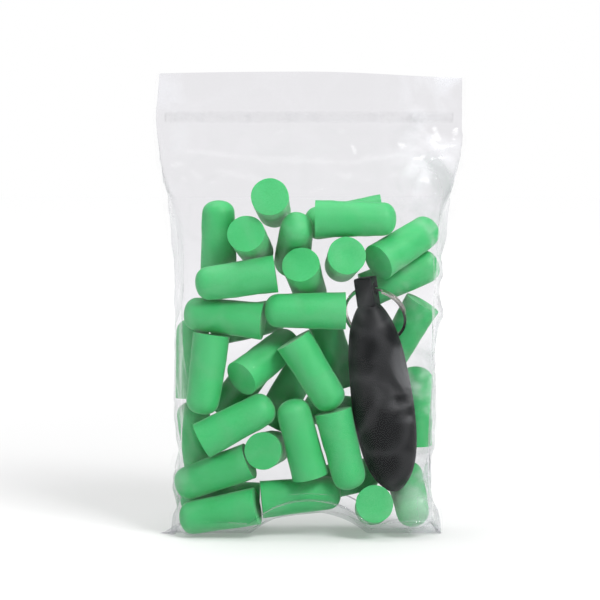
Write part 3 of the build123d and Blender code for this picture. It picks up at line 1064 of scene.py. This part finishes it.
    def inward(self, start: np.ndarray) -> np.ndarray:
        """Unit directions into the bag at each point of the film.

        Args:
            start: where the film is, by row and column.

        Returns:
            A direction for each point.
        """
        ring = start[:, :-1]
        across = np.roll(ring, -1, 1) - np.roll(ring, 1, 1)
        upward = np.gradient(ring, axis=0)
        normal = np.cross(upward, across)
        normal /= np.maximum(np.linalg.norm(normal, axis=2), 1e-12)[:, :, None]
        normal[:, 0] = (1, 0, 0)
        normal[:, self.columns] = (-1, 0, 0)
        return np.concatenate([normal, normal[:, :1]], 1)

    def room(self, start: np.ndarray, inward: np.ndarray,
             heap: list[bpy.types.Object]) -> np.ndarray:
        """How far each point of the film can move inwards before the heap stops it.

        Args:
            start: where the film is.
            inward: which way it moves.
            heap: the pieces that stop it.

        Returns:
            A distance for each point.
        """
        corners, faces = [], []
        for piece in heap:
            first = len(corners)
            corners += [piece.matrix_world @ v.co for v in piece.data.vertices]
            faces += [[first + i for i in face.vertices] for face in piece.data.polygons]
        tree = BVHTree.FromPolygons(corners, faces)
        far = 20 * MM
        flat_start, flat_inward = start.reshape(-1, 3), inward.reshape(-1, 3)
        free = np.full(len(flat_start), far)
        for i, (point, way) in enumerate(zip(flat_start, flat_inward)):
            origin = Vector(point - way * MM)
            hit = tree.ray_cast(origin, Vector(way), far)
            if hit[0] is not None:
                free[i] = hit[3] - MM
        free = free.reshape(start.shape[:2])
        padded = np.pad(free[:, :-1], ((1, 1), (0, 0)), mode="edge")
        padded = np.concatenate([padded[:, -1:], padded, padded[:, :1]], 1)
        shifts = [padded[i:i + free.shape[0], j:j + free.shape[1] - 1]
                  for i in range(3) for j in range(3)]
        least = np.min(shifts, 0) - self.clearance
        return np.maximum(np.column_stack([least, least[:, :1]]), -0.3 * MM)

    def looseness(self, start: np.ndarray, up: np.ndarray) -> np.ndarray:
        """How far the film's folds stand out from its drawn-in skin.

        Args:
            start: where the film is, by row and column.
            up: each point's share of the film's height.

        Returns:
            A distance for each point.
        """
        x, z = start[:, :, 0], start[:, :, 2]
        front = smoothstep(-start[:, :, 1] / (3 * MM) + 0.5)
        folds = sum(crease.rise(x, z) for crease in self.creases) * front
        mirrored = sum(crease.rise(-x + 3 * MM, z + 4 * MM) for crease in self.creases[5:])
        folds = folds + mirrored * (1 - front)
        flat = np.stack([x, start[:, :, 1], z * 0.45], 2).reshape(-1, 3)
        near_edge = smoothstep((np.abs(x) - 26 * MM) / (16 * MM))
        ridges = 1 - np.abs(waves(flat, 11, 7, 13 * MM)).reshape(x.shape)
        ripple = waves(flat, 23, 6, 7 * MM).reshape(x.shape) + 1.2
        folds += (0.45 * np.clip(ridges, 0, 1) ** 3 + 0.12 * ripple) * MM * (0.3 + near_edge)
        hinge = np.clip(np.abs(up - self.hinge_share) / 0.02, 0, 1)
        mouth = 1 - smoothstep((up - 0.875) / 0.02)
        foot = smoothstep((up - 0.05) / 0.06)
        return folds * hinge * foot * (0.04 + 0.96 * mouth)

    def mouth_wave(self, co: np.ndarray, up: np.ndarray) -> np.ndarray:
        """How the mouth's free edge rises and falls across the bag.

        Args:
            co: the film's points, by row and column.
            up: each point's share of the film's height.

        Returns:
            A rise for each point.
        """
        share = np.clip(co[:, :, 0] / self.lip_width, -1, 1)
        wave = 0.6 * MM * (1 - share**2) - 1.4 * MM * smoothstep(share)
        return wave * smoothstep((up - 0.94) / 0.06)

    def part_of(self, tube: bpy.types.Object, name: str, keep: np.ndarray,
                material: bpy.types.Material) -> bpy.types.Object:
        """A cut-out of the film.

        Args:
            tube: the whole film.
            name: the new piece's name.
            keep: a mask of the vertices to keep.
            material: its finish.

        Returns:
            The new piece.
        """
        piece = copy_of(tube, name)
        self.pieces.append(piece)
        delete_marked(piece, "VERT", ~keep)
        piece.data.materials.append(material)
        facing = sum(face.normal.y * face.area for face in piece.data.polygons)
        activate(piece)
        if facing * points_of(piece)[:, 1].mean() < 0:
            select_whole(piece)
            bpy.ops.mesh.flip_normals()
            bpy.ops.object.mode_set(mode="OBJECT")
        bpy.ops.object.shade_smooth()
        return piece

    def cut_panels(self, tube: bpy.types.Object, material: bpy.types.Material) -> None:
        """Cuts the film into its filled panels and the four quarters of its mouth.

        Args:
            tube: the whole film.
            material: its finish.
        """
        up, rounds = (self.shares_of(tube, name) for name in ("up_share", "round_share"))
        step = 0.5 / self.rows
        low, high = up < self.hinge_share + step, up > self.hinge_share - step
        co = points_of(tube)
        for side in Side:
            half = rounds < 0.5001 if side is Side.MINUS else rounds > 0.4999
            name = side.front_back
            panel = self.part_of(tube, f"{name}_film", low & half, material)
            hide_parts(f"{name}_panel")
            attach(panel, "bag")
            for half_side in Side:
                across = half_side.value * co[:, 0] > -1.2 * MM
                lip = self.part_of(tube, f"{name}_lip_{half_side.left_right}",
                                   high & half & across, material)
                self.trim_at_middle(lip, half_side)
                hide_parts(f"{name}_lip")
                self.blend_across(lip)
        log.info("film cut into two panels and four lip halves")

    def trim_at_middle(self, piece: bpy.types.Object, side: Side) -> None:
        """Cuts a piece off exactly at the bag's middle.

        Args:
            piece: the piece to cut.
            side: the side that is kept.
        """
        select_whole(piece)
        bpy.ops.mesh.bisect(plane_co=(0, 0, 0), plane_no=(side.value, 0, 0), clear_inner=True,
                            threshold=0.001 * MM)
        bpy.ops.object.mode_set(mode="OBJECT")

    def blend_across(self, piece: bpy.types.Object) -> None:
        """Puts a piece of the mouth's place into its mesh.

        Args:
            piece: the piece.
        """
        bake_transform(piece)

    def add_seams(self, tube: bpy.types.Object, material: bpy.types.Material) -> None:
        """Welds a thin flange along each side, which follows the film's own edge.

        Args:
            tube: the whole film.
            material: the flanges' finish.
        """
        rounds = self.shares_of(tube, "round_share")
        co = points_of(tube)
        for side in Side:
            edge = co[np.abs(rounds - (0.0 if side is Side.MINUS else 0.5)) < 1e-4]
            edge = edge[np.argsort(edge[:, 2])]
            outward = np.interp(edge[:, 2], [0, 6 * MM, 14 * MM, self.hinge, self.zip_height],
                                [0.5 * MM, 1.2 * MM, self.seam_out, self.seam_out, 1.1 * MM])
            deselect_all()
            bpy.ops.mesh.primitive_grid_add(x_subdivisions=3, y_subdivisions=len(edge) - 1)
            seam = named(f"{side.left_right}_weld")
            grid = points_of(seam) / 2 + 0.5
            row = np.rint(grid[:, 1] * (len(edge) - 1)).astype(int)
            placed = edge[row].copy()
            placed[:, 0] += side.value * (grid[:, 0] * outward[row] - self.weld_lap)
            placed[:, 1] += self.weld_ruffle * np.sin(placed[:, 2] / (4 * MM)) * grid[:, 0]
            place_points(seam, placed)
            apply_modifier(seam, "SOLIDIFY", thickness=self.weld_thickness, offset=0.0)
            seam.data.materials.append(material)
            self.turn_out(seam)
            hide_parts(f"{side.left_right}_seam")
            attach(seam, "bag")
            self.pieces.append(seam)
        log.info("side seams welded")

    def turn_out(self, piece: bpy.types.Object) -> None:
        """Points a closed piece's faces outwards and shades it smooth.

        Args:
            piece: the piece to turn.
        """
        select_whole(piece)
        bpy.ops.mesh.normals_make_consistent(inside=False)
        bpy.ops.object.mode_set(mode="OBJECT")
        bpy.ops.object.shade_smooth_by_angle(angle=math.radians(45))

    def add_zip(self, material: bpy.types.Material) -> None:
        """Models the zip's rib and channel in halves, one for each half of the bag's width.

        Args:
            material: the profiles' finish.
        """
        for node, side, legs in (("zip_rib", Side.MINUS, (0.0,)),
                                 ("zip_channel", Side.PLUS, (-self.zip_legs, self.zip_legs))):
            for half_side in Side:
                piece = self.zip_half(node, side, half_side, legs)
                piece.data.materials.append(material)
                self.turn_out(piece)
                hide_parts(node)
                self.blend_across(piece)
                self.pieces.append(piece)
        log.info("zip profiles modelled")

    def zip_half(self, node: str, side: Side, half_side: Side,
                 legs: tuple[float, ...]) -> bpy.types.Object:
        """One half of a zip profile: a rounded base strip with its tongue or two walls.

        Args:
            node: the CAD node it stands for.
            side: the film it is on.
            half_side: the half of the bag's width.
            legs: the heights of its legs from the zip's middle.

        Returns:
            The profile's half, from the middle outwards.
        """
        low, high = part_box(node)
        wall = high.y if side is Side.PLUS else low.y
        base, reach = self.zip_base, high.y - low.y - 0.1 * MM
        thick = self.zip_tongue if len(legs) == 1 else self.zip_wall
        strips = [(wall - side.value * base / 2, self.zip_height, base, high.z - low.z)]
        strips += [(wall - side.value * reach / 2, self.zip_height + leg, reach, thick)
                   for leg in legs]
        made = []
        for y, z, deep, tall in strips:
            deselect_all()
            bpy.ops.mesh.primitive_cube_add(size=1.0, location=(half_side.value * high.x / 2, y, z),
                                            scale=(high.x, deep, tall))
            strip = named("strip")
            freeze_place(strip)
            self.work_long_edges(strip, lambda: bpy.ops.mesh.bevel(
                offset=self.zip_edge, segments=2, affect="EDGES"))
            self.work_long_edges(strip, lambda: bpy.ops.mesh.subdivide(number_cuts=30))
            made.append(strip)
        activate(*made)
        bpy.ops.object.join()
        return named(f"{node}_{half_side.left_right}")

    def work_long_edges(self, piece: bpy.types.Object, work: Callable[[], object]) -> None:
        """Selects a strip's long edges in edit mode and works on them.

        Args:
            piece: the strip.
            work: what is done to the selected edges.
        """
        select_none(piece, "EDGE")
        mesh = bmesh.from_edit_mesh(piece.data)
        for edge in mesh.edges:
            edge.select_set(abs(edge.verts[0].co.x - edge.verts[1].co.x) > 10 * MM)
        bmesh.update_edit_mesh(piece.data)
        work()
        bpy.ops.object.mode_set(mode="OBJECT")


# ------------------------------------------------------------------ the case and its ring
@dataclass
class CarryCase:
    """The spindle-shaped rubber case, with the slit in its back that opens when it is squeezed.

    Its outline gives the share of the half width at each share of the length.
    """

    finish: RubberFinish
    effects: Effects
    length: float = 62 * MM
    half_width: float = 10 * MM
    half_depth: float = 8.4 * MM
    wall: float = 1.5 * MM
    neck: float = 2.7 * MM
    tab_size: float = 6.0 * MM
    tab_height: float = 8.4 * MM
    tab_turn: float = -22.0
    hole: float = 3.6 * MM
    hole_share: float = 0.55
    slit_reach: float = 17.15 * MM
    slit_middle: float = 0.47
    slit_side: float = 6.65 * MM
    slit_gap: float = 0.12 * MM
    around: int = 56
    outline: tuple = ((0.0, 0.0), (0.17, 0.006), (0.36, 0.03), (0.62, 0.085), (0.84, 0.18),
                      (0.97, 0.32), (1.0, 0.45), (0.955, 0.62), (0.85, 0.78), (0.66, 0.9),
                      (0.42, 0.975), (0.3, 1.0))
    pieces: list[bpy.types.Object] = field(default_factory=list)
    place: Matrix = field(init=False)

    def read_frame(self) -> None:
        """Finds the case's place in the bag from its hinges."""
        joints = {j["name"]: j for j in frame["joints"]}
        axis = Vector(joints["left_case_lip_open"]["axis"]).normalized()
        eye = Vector(joints["ring_swing"]["pos_m"])
        foot = eye - axis * (self.length + self.hole_share * self.tab_height)
        side = Vector((0, 1, 0)).cross(axis)
        turn = Matrix((side, Vector((0, 1, 0)), axis)).transposed()
        self.place = Matrix.Translation(foot) @ turn.to_4x4()

    def build(self) -> None:
        """Models the shell with its tab and the four quarters of its slit."""
        self.read_frame()
        material = self.finish.material(self.effects)
        body = self.spindle()
        low = self.slit_middle * self.length - self.slit_reach
        high = self.slit_middle * self.length + self.slit_reach
        shell = copy_of(body, "case_body")
        self.cut(shell, [((s * self.slit_side, 0, 0), (1, 0, 0), False) for s in (-1, 1)]
                 + [((0, 0, z), (0, 0, 1), False) for z in (low, high)])
        centres = np.array([f.center[:] for f in shell.data.polygons])
        window = ((np.abs(centres[:, 0]) < self.slit_side) & (centres[:, 1] > 0)
                  & (centres[:, 2] > low) & (centres[:, 2] < high))
        delete_marked(shell, "FACE", window)
        self.thicken(shell)
        tab = self.tab()
        activate(shell, tab)
        bpy.ops.object.join()
        self.finish_piece(shell, material)
        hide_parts("case_shell")
        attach(shell, "bag")
        for side in Side:
            for name, start in (("low", low), ("high", high)):
                self.add_lip(body, side, name, start, material)
        remove(body)
        log.info("case of %.0f mm modelled", self.length / MM)

    def spindle(self) -> bpy.types.Object:
        """The case's outer skin: rings raised along its outline.

        Returns:
            The closed skin, standing on its foot at the origin.
        """
        heights = np.array([h for _, h in self.outline]) * self.length
        radii = np.array([r for r, _ in self.outline]) * self.half_width
        steps = self.length * (1 - np.cos(np.linspace(0.12, math.pi - 0.25, 44))) / 2
        steps = (steps - steps[0]) / (steps[-1] - steps[0]) * (self.length - 0.15 * MM) + 0.15 * MM
        smooth = self.smooth_outline(heights, radii, steps)
        deselect_all()
        bpy.ops.mesh.primitive_circle_add(vertices=self.around, radius=smooth[0],
                                          fill_type="NGON", location=(0, 0, steps[0]))
        body = named("case_skin")
        freeze_place(body)
        bpy.ops.object.mode_set(mode="EDIT")
        bpy.ops.mesh.select_mode(type="FACE")
        bpy.ops.mesh.select_all(action="SELECT")
        for i in range(1, len(steps)):
            rise, grow = steps[i] - steps[i - 1], smooth[i] / smooth[i - 1]
            bpy.ops.mesh.extrude_region_move(TRANSFORM_OT_translate={"value": (0, 0, rise)})
            bpy.ops.transform.resize(value=(grow, grow, 1), center_override=(0, 0, steps[i]))
        bpy.ops.mesh.poke()
        bpy.ops.mesh.select_all(action="SELECT")
        depth = self.half_depth / self.half_width
        bpy.ops.transform.resize(value=(1, depth, 1), center_override=(0, 0, 0))
        bpy.ops.mesh.normals_make_consistent(inside=False)
        bpy.ops.object.mode_set(mode="OBJECT")
        return body

    def smooth_outline(self, heights: np.ndarray, radii: np.ndarray,
                       steps: np.ndarray) -> np.ndarray:
        """Radii at the given steps, on a smooth curve through the outline's points.

        Args:
            heights: the outline's heights.
            radii: its radii there.
            steps: the heights to find radii for.

        Returns:
            A radius for each step.
        """
        share = np.sqrt(np.maximum(steps, 0) / self.length)
        known = np.sqrt(heights / self.length)
        slopes = np.gradient(radii, known)
        spot = np.clip(np.searchsorted(known, share) - 1, 0, len(known) - 2)
        gap = known[spot + 1] - known[spot]
        t = (share - known[spot]) / gap
        return ((2 * t**3 - 3 * t**2 + 1) * radii[spot] + (t**3 - 2 * t**2 + t) * gap * slopes[spot]
                + (3 * t**2 - 2 * t**3) * radii[spot + 1] + (t**3 - t**2) * gap * slopes[spot + 1])

    def cut(self, piece: bpy.types.Object, planes: list[tuple]) -> None:
        """Cuts a skin along planes, and clears what lies behind those marked to clear.

        Args:
            piece: the skin.
            planes: for each plane a point, its normal and whether to clear behind it.
        """
        activate(piece)
        bpy.ops.object.mode_set(mode="EDIT")
        for point, normal, clear in planes:
            bpy.ops.mesh.select_all(action="SELECT")
            bpy.ops.mesh.bisect(plane_co=point, plane_no=normal, clear_inner=clear,
                                threshold=0.001 * MM)
        bpy.ops.object.mode_set(mode="OBJECT")

    def thicken(self, piece: bpy.types.Object) -> None:
        """Gives a skin the rubber's wall, inwards."""
        apply_modifier(piece, "SOLIDIFY", thickness=self.wall, offset=-1.0)

    def tab(self) -> bpy.types.Object:
        """The square eye on top, with the ring's hole through it.

        Returns:
            The tab, above the origin by the length of the case.
        """
        root = 1.0 * MM
        tall = self.tab_height + root
        deselect_all()
        bpy.ops.mesh.primitive_cube_add(size=1.0, scale=(self.tab_size, self.tab_size, tall),
                                        location=(0, 0, self.length - root + tall / 2))
        tab = named("case_tab")
        freeze_place(tab)
        bpy.ops.mesh.primitive_cylinder_add(
            vertices=40, radius=self.hole / 2, depth=3 * self.tab_size, rotation=(0, math.pi / 2, 0),
            location=(0, 0, self.length + self.hole_share * self.tab_height))
        drill = named("drill")
        freeze_place(drill)
        apply_modifier(tab, "BOOLEAN", object=drill, operation="DIFFERENCE", solver="EXACT")
        remove(drill)
        apply_modifier(tab, "BEVEL", width=0.55 * MM, segments=4, limit_method="ANGLE",
                       angle_limit=math.radians(50))
        tab.data.transform(Matrix.Rotation(math.radians(self.tab_turn), 4, "Z"))
        return tab

    def add_lip(self, body: bpy.types.Object, side: Side, name: str, start: float,
                material: bpy.types.Material) -> None:
        """One quarter of the slit, from the slit's end to its middle.

        Args:
            body: the case's skin.
            side: left or right of the slit.
            name: low or high.
            start: the height of the slit's end.
            material: the rubber.
        """
        lip = copy_of(body, f"case_lip_{side.left_right}_{name}")
        middle = self.slit_middle * self.length
        way = 1 if middle > start else -1
        self.cut(lip, [((0, 0, 0), (0, 1, 0), True),
                       ((side.value * self.slit_gap, 0, 0), (side.value, 0, 0), True),
                       ((side.value * self.slit_side, 0, 0), (-side.value, 0, 0), True),
                       ((0, 0, start), (0, 0, way), True),
                       ((0, 0, middle), (0, 0, -way), True)])
        self.thicken(lip)
        self.finish_piece(lip, material)
        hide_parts(f"case_lip_{side.left_right}")
        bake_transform(lip)

    def finish_piece(self, piece: bpy.types.Object, material: bpy.types.Material) -> None:
        """Puts a piece in its place in the bag and dresses it.

        Args:
            piece: the piece.
            material: the rubber.
        """
        piece.data.transform(self.place)
        piece.data.materials.clear()
        piece.data.materials.append(material)
        activate(piece)
        bpy.ops.object.shade_smooth_by_angle(angle=math.radians(38))
        self.pieces.append(piece)


@dataclass
class SplitRing:
    """Two turns of flat wire side by side."""

    finish: NickelFinish
    effects: Effects
    wire_width: float = 1.1 * MM
    wire_height: float = 0.8 * MM
    turn_gap: float = 0.1 * MM
    turns: float = 1.94
    pieces: list[bpy.types.Object] = field(default_factory=list)

    def build(self) -> None:
        """Winds the wire where the CAD ring hangs."""
        node = frame["nodes"]["split_ring"]
        co = points_of(node) @ np.array(node.matrix_world.to_3x3()).T
        co += np.array(node.matrix_world.translation)
        middle = (co.max(0) + co.min(0)) / 2
        for _ in range(3):
            across = np.linalg.svd(co - co.mean(0), full_matrices=False)[2]
            flat = (co - middle) @ across.T
            middle = middle + across.T @ ((flat.max(0) + flat.min(0)) / 2)
        radius = np.ptp(flat[:, 0]) / 2 - self.wire_width / 2
        pitch = self.wire_height + self.turn_gap
        deselect_all()
        bpy.ops.mesh.primitive_plane_add(size=1.0)
        ring = named("wire_ring")
        section = points_of(ring)[:, :2] * [self.wire_width - 0.2 * MM, self.wire_height - 0.2 * MM]
        place_points(ring, np.column_stack([radius + section[:, 0], np.zeros(4), section[:, 1]]))
        bpy.ops.object.mode_set(mode="EDIT")
        bpy.ops.mesh.select_all(action="SELECT")
        bpy.ops.mesh.delete(type="ONLY_FACE")
        bpy.ops.object.mode_set(mode="OBJECT")
        apply_modifier(ring, "SCREW", angle=math.tau * self.turns, steps=150, render_steps=150,
                       screw_offset=pitch * self.turns, use_normal_calculate=True)
        bpy.ops.object.mode_set(mode="EDIT")
        bpy.ops.mesh.select_mode(type="EDGE")
        bpy.ops.mesh.select_all(action="SELECT")
        bpy.ops.mesh.fill_holes(sides=4)
        bpy.ops.mesh.select_all(action="SELECT")
        bpy.ops.mesh.normals_make_consistent(inside=False)
        bpy.ops.object.mode_set(mode="OBJECT")
        ring.data.transform(Matrix.Translation((0, 0, -pitch * self.turns / 2)))
        turn = Matrix([Vector(a) for a in across]).transposed()
        if turn.determinant() < 0:
            turn.col[1] = -turn.col[1]
        ring.data.transform(Matrix.Translation(Vector(middle)) @ turn.to_4x4())
        ring.data.materials.append(self.finish.material(self.effects))
        activate(ring)
        bpy.ops.object.shade_smooth_by_angle(angle=math.radians(40))
        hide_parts("split_ring")
        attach(ring, "ring")
        self.pieces.append(ring)
        log.info("split ring of %.1f mm wound", 2 * (radius + self.wire_width / 2) / MM)


# ------------------------------------------------------------------ the studio
@dataclass(frozen=True)
class Softbox:
    """A square light that faces the middle of the bag."""

    name: str
    place: Place
    size: float
    power: float


@dataclass
class Studio:
    """A white floor, soft lights and the camera."""

    distance: float = 0.66
    elevation: float = 5.0
    frame_width: float = 0.195
    surround: float = 0.43
    near_glow: float = 0.235
    far_glow: float = 0.745
    aim: Vector = field(default_factory=lambda: Vector((-0.0029, 0.0, 0.0768)))
    lights: tuple[Softbox, ...] = (Softbox("key_softbox", (0.42, -0.50, 0.62), 0.28, 7.1),
                                   Softbox("top_softbox", (-0.10, 0.05, 0.72), 0.50, 3.2),
                                   Softbox("left_fill", (-0.60, -0.42, 0.25), 0.40, 0.8))

    def build(self) -> None:
        """Sets up the floor, the world, the lights and the camera."""
        self.add_floor()
        self.add_world()
        for softbox in self.lights:
            self.add_light(softbox)
        self.add_camera()
        bpy.context.scene.view_settings.view_transform = "Standard"

    def add_floor(self) -> None:
        """A wide pale floor under the bag."""
        deselect_all()
        bpy.ops.mesh.primitive_plane_add(size=6.0, location=(0, 0, -0.0001))
        floor = named("floor")
        material, tree = new_material("floor_white")
        place = tree.add("TexCoord").outputs["Object"]
        far = tree.add("VectorMath", {0: place}, operation="LENGTH").outputs["Value"]
        glow = tree.ranged(far, 0.08, 0.8, self.near_glow, self.far_glow)
        shader = tree.add("BsdfPrincipled", {"Base Color": (0.55, 0.55, 0.55, 1.0), "Roughness": 0.7,
                                             "Specular IOR Level": 0.1,
                                             "Emission Color": (1.0, 1.0, 1.0, 1.0),
                                             "Emission Strength": glow})
        tree.add("OutputMaterial", {"Surface": shader.outputs[0]})
        floor.data.materials.append(material)

    def add_world(self) -> None:
        """A white backdrop for the camera, and softer light from all round for the rest."""
        world = bpy.data.worlds.new("white_surround")
        world.use_nodes = True
        world.node_tree.nodes.clear()
        tree = Tree(world.node_tree)
        seen = tree.add("LightPath").outputs["Is Camera Ray"]
        strength = tree.math("MULTIPLY_ADD", seen, 1.0 - self.surround, self.surround)
        background = tree.add("Background", {0: (1.0, 1.0, 1.0, 1.0), 1: strength})
        tree.add("OutputWorld", {0: background.outputs[0]})
        bpy.context.scene.world = world

    def add_light(self, softbox: Softbox) -> None:
        """Hangs a softbox and turns it to the bag.

        Args:
            softbox: the light to hang.
        """
        light = bpy.data.lights.new(softbox.name, "AREA")
        light.shape = "SQUARE"
        light.size = softbox.size
        light.energy = softbox.power
        lamp = bpy.data.objects.new(softbox.name, light)
        lamp.location = softbox.place
        way = self.aim - Vector(softbox.place)
        lamp.rotation_euler = way.to_track_quat("-Z", "Y").to_euler()
        bpy.context.scene.collection.objects.link(lamp)

    def add_camera(self) -> None:
        """A long lens, level with the bag's middle and slightly above it."""
        lens = bpy.data.cameras.new("camera")
        lens.lens = lens.sensor_width * self.distance / self.frame_width
        camera = bpy.data.objects.new("camera", lens)
        rise = math.radians(self.elevation)
        away = Vector((0, -math.cos(rise), math.sin(rise))) * self.distance
        camera.location = self.aim + away
        camera.rotation_euler = (-away).to_track_quat("-Z", "Y").to_euler()
        bpy.context.scene.collection.objects.link(camera)
        bpy.context.scene.camera = camera


def main() -> None:
    """Builds the pack, piece by piece, and the studio round it."""
    effects = Effects()
    plugs = EarPlugs(FoamFinish(), effects)
    plugs.build()
    case = CarryCase(RubberFinish(), effects)
    case.build()
    ring = SplitRing(NickelFinish(), effects)
    ring.build()
    heap = plugs.pieces + case.pieces + ring.pieces
    seams = FilmFinish(name="welded_film", veil=0.006, edge_veil=0.12,
                       clear=(0.997, 0.997, 0.997, 1.0), gloss=0.008, stretch_haze=0.0)
    bag = FilmBag(FilmFinish(), seams, effects)
    bag.build(heap)
    Studio().build()
    for piece in heap + bag.pieces:
        log.info("%s: %d faces", piece.name, len(piece.data.polygons))


if __name__ == "__main__":
    main()
